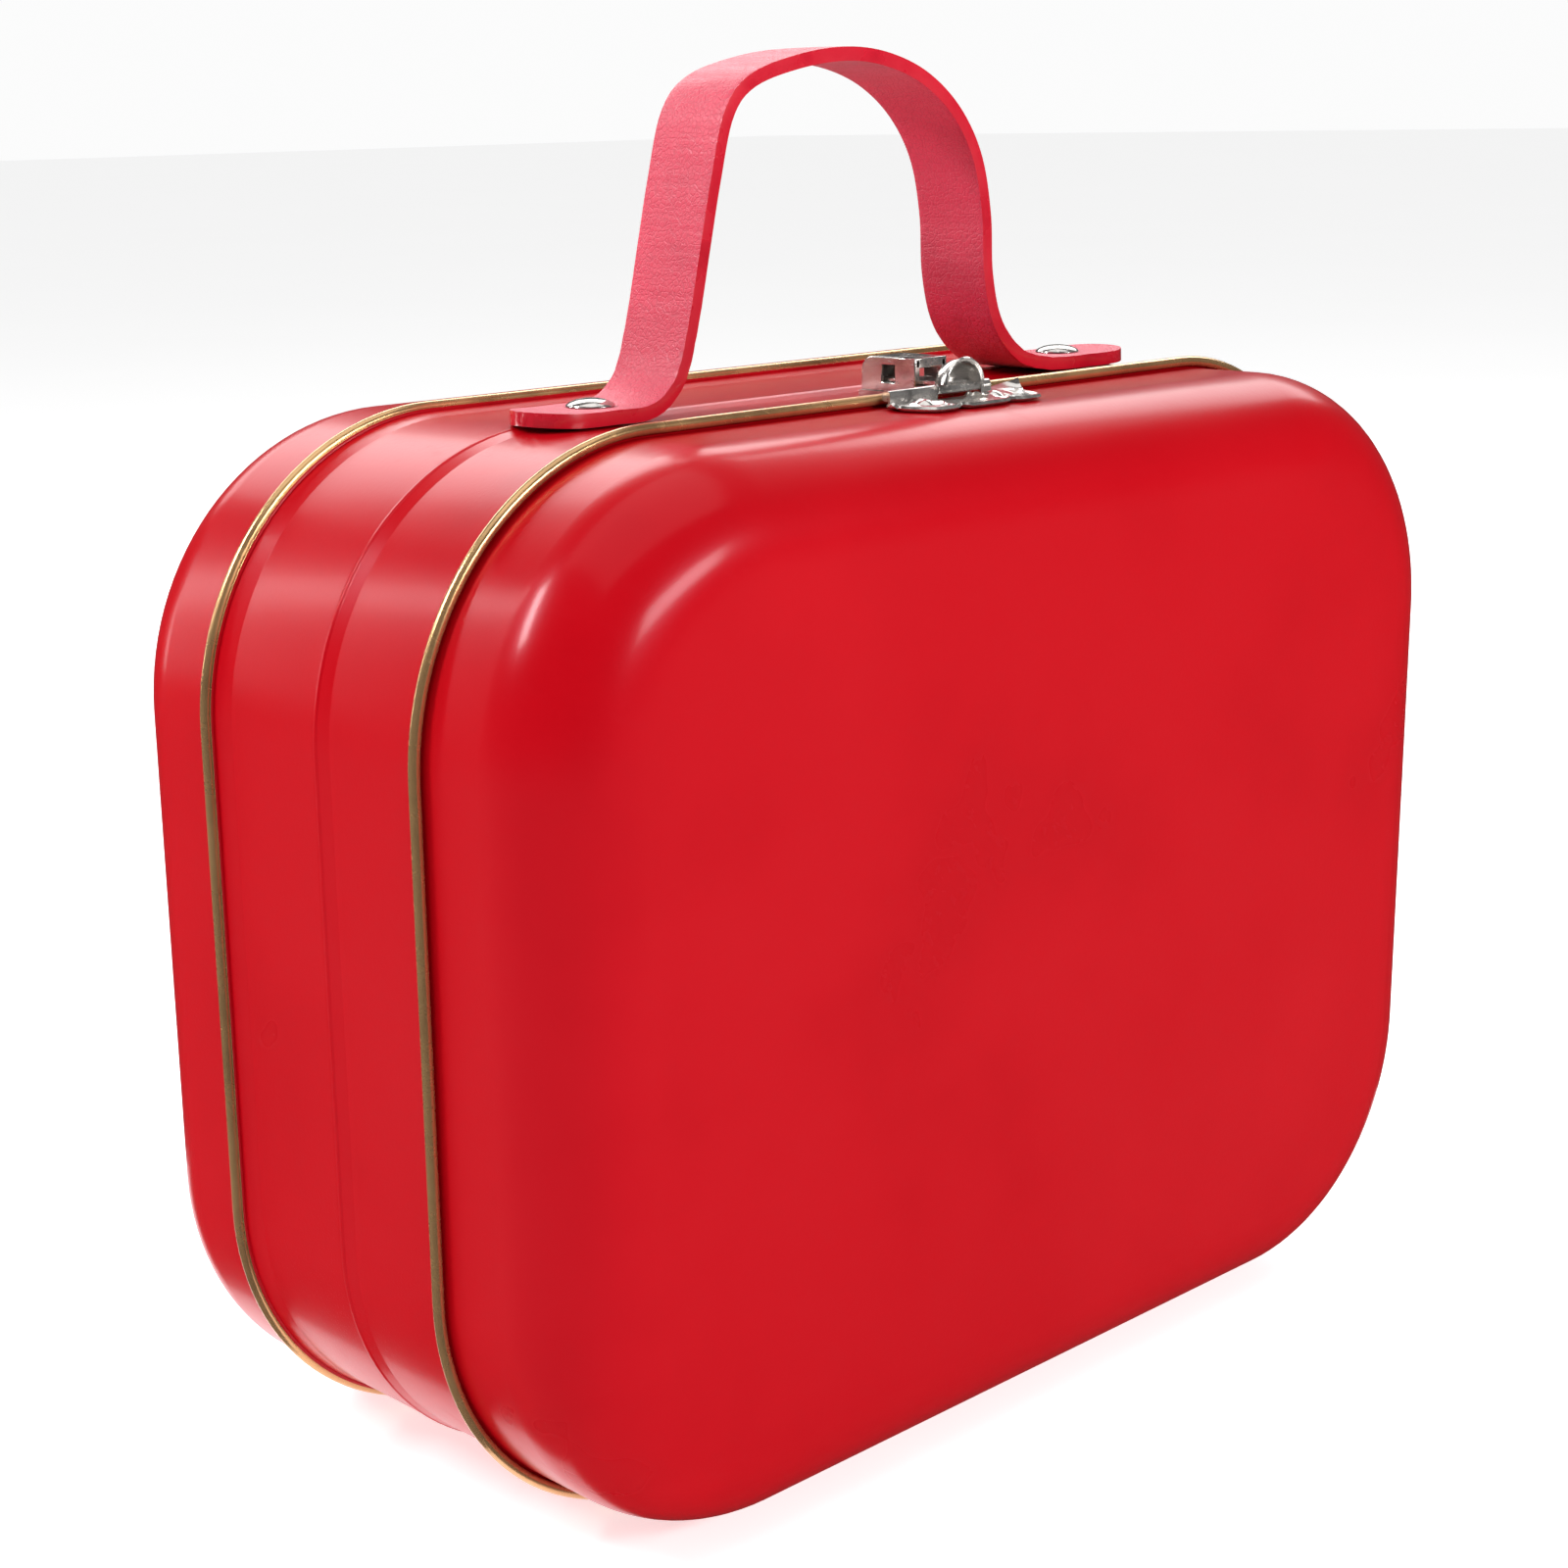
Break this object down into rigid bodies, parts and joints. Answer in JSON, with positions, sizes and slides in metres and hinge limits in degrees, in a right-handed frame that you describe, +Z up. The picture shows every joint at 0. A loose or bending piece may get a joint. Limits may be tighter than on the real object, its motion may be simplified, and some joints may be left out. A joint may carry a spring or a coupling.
{
  "type": "lunch box",
  "caption": "Rounded tin suitcase lunch box: pressed lid and back on a rolled band, strap handle and snap clasp on top, lid hinged at the bottom.",
  "frame": {"origin": "middle of the footprint, on the surface that the rims stand on", "axes": "+X along the width, +Y from the lid towards the back, +Z up towards the handle"},
  "size_m": [0.2, 0.0944, 0.2032],
  "materials": {
    "red_enamel": "satin red coating on tinplate",
    "gold_lacquer": "gold lacquered tinplate",
    "nickel": "bright nickel plate",
    "hinge_steel": "plain zinc plated steel",
    "strap_leather": "red smooth leather with sealed edges"
  },
  "bodies": {
    "body": {"body_band": "red_enamel", "neck_ring": "gold_lacquer", "back_pan": "red_enamel", "body_hinge_leaves": "hinge_steel", "hinge_pins": "hinge_steel", "body_hinge_rivets": "hinge_steel", "catch_base": "nickel", "catch_channel": "nickel", "catch_rivets": "nickel", "handle_strap": "strap_leather", "handle_rivets": "nickel", "handle_washers": "hinge_steel"},
    "lid": {"lid_pan": "red_enamel", "lid_hinge_leaves": "hinge_steel", "lid_hinge_rivets": "hinge_steel", "scroll_plate": "nickel", "scroll_rivets": "nickel", "clasp_pin": "nickel"},
    "clasp": {"clasp_lever": "nickel"}
  },
  "joints": [
    {"name": "lid_hinge", "type": "hinge", "parent": "body", "child": "lid", "pos_m": [0, -0.02032, 0.0012], "axis": [1, 0, 0], "range_deg": [0, 120]},
    {"name": "clasp_rock", "type": "hinge", "parent": "lid", "child": "clasp", "pos_m": [0.0015, -0.0232, 0.15485], "axis": [1, 0, 0], "range_deg": [0, 6]}
  ]
}
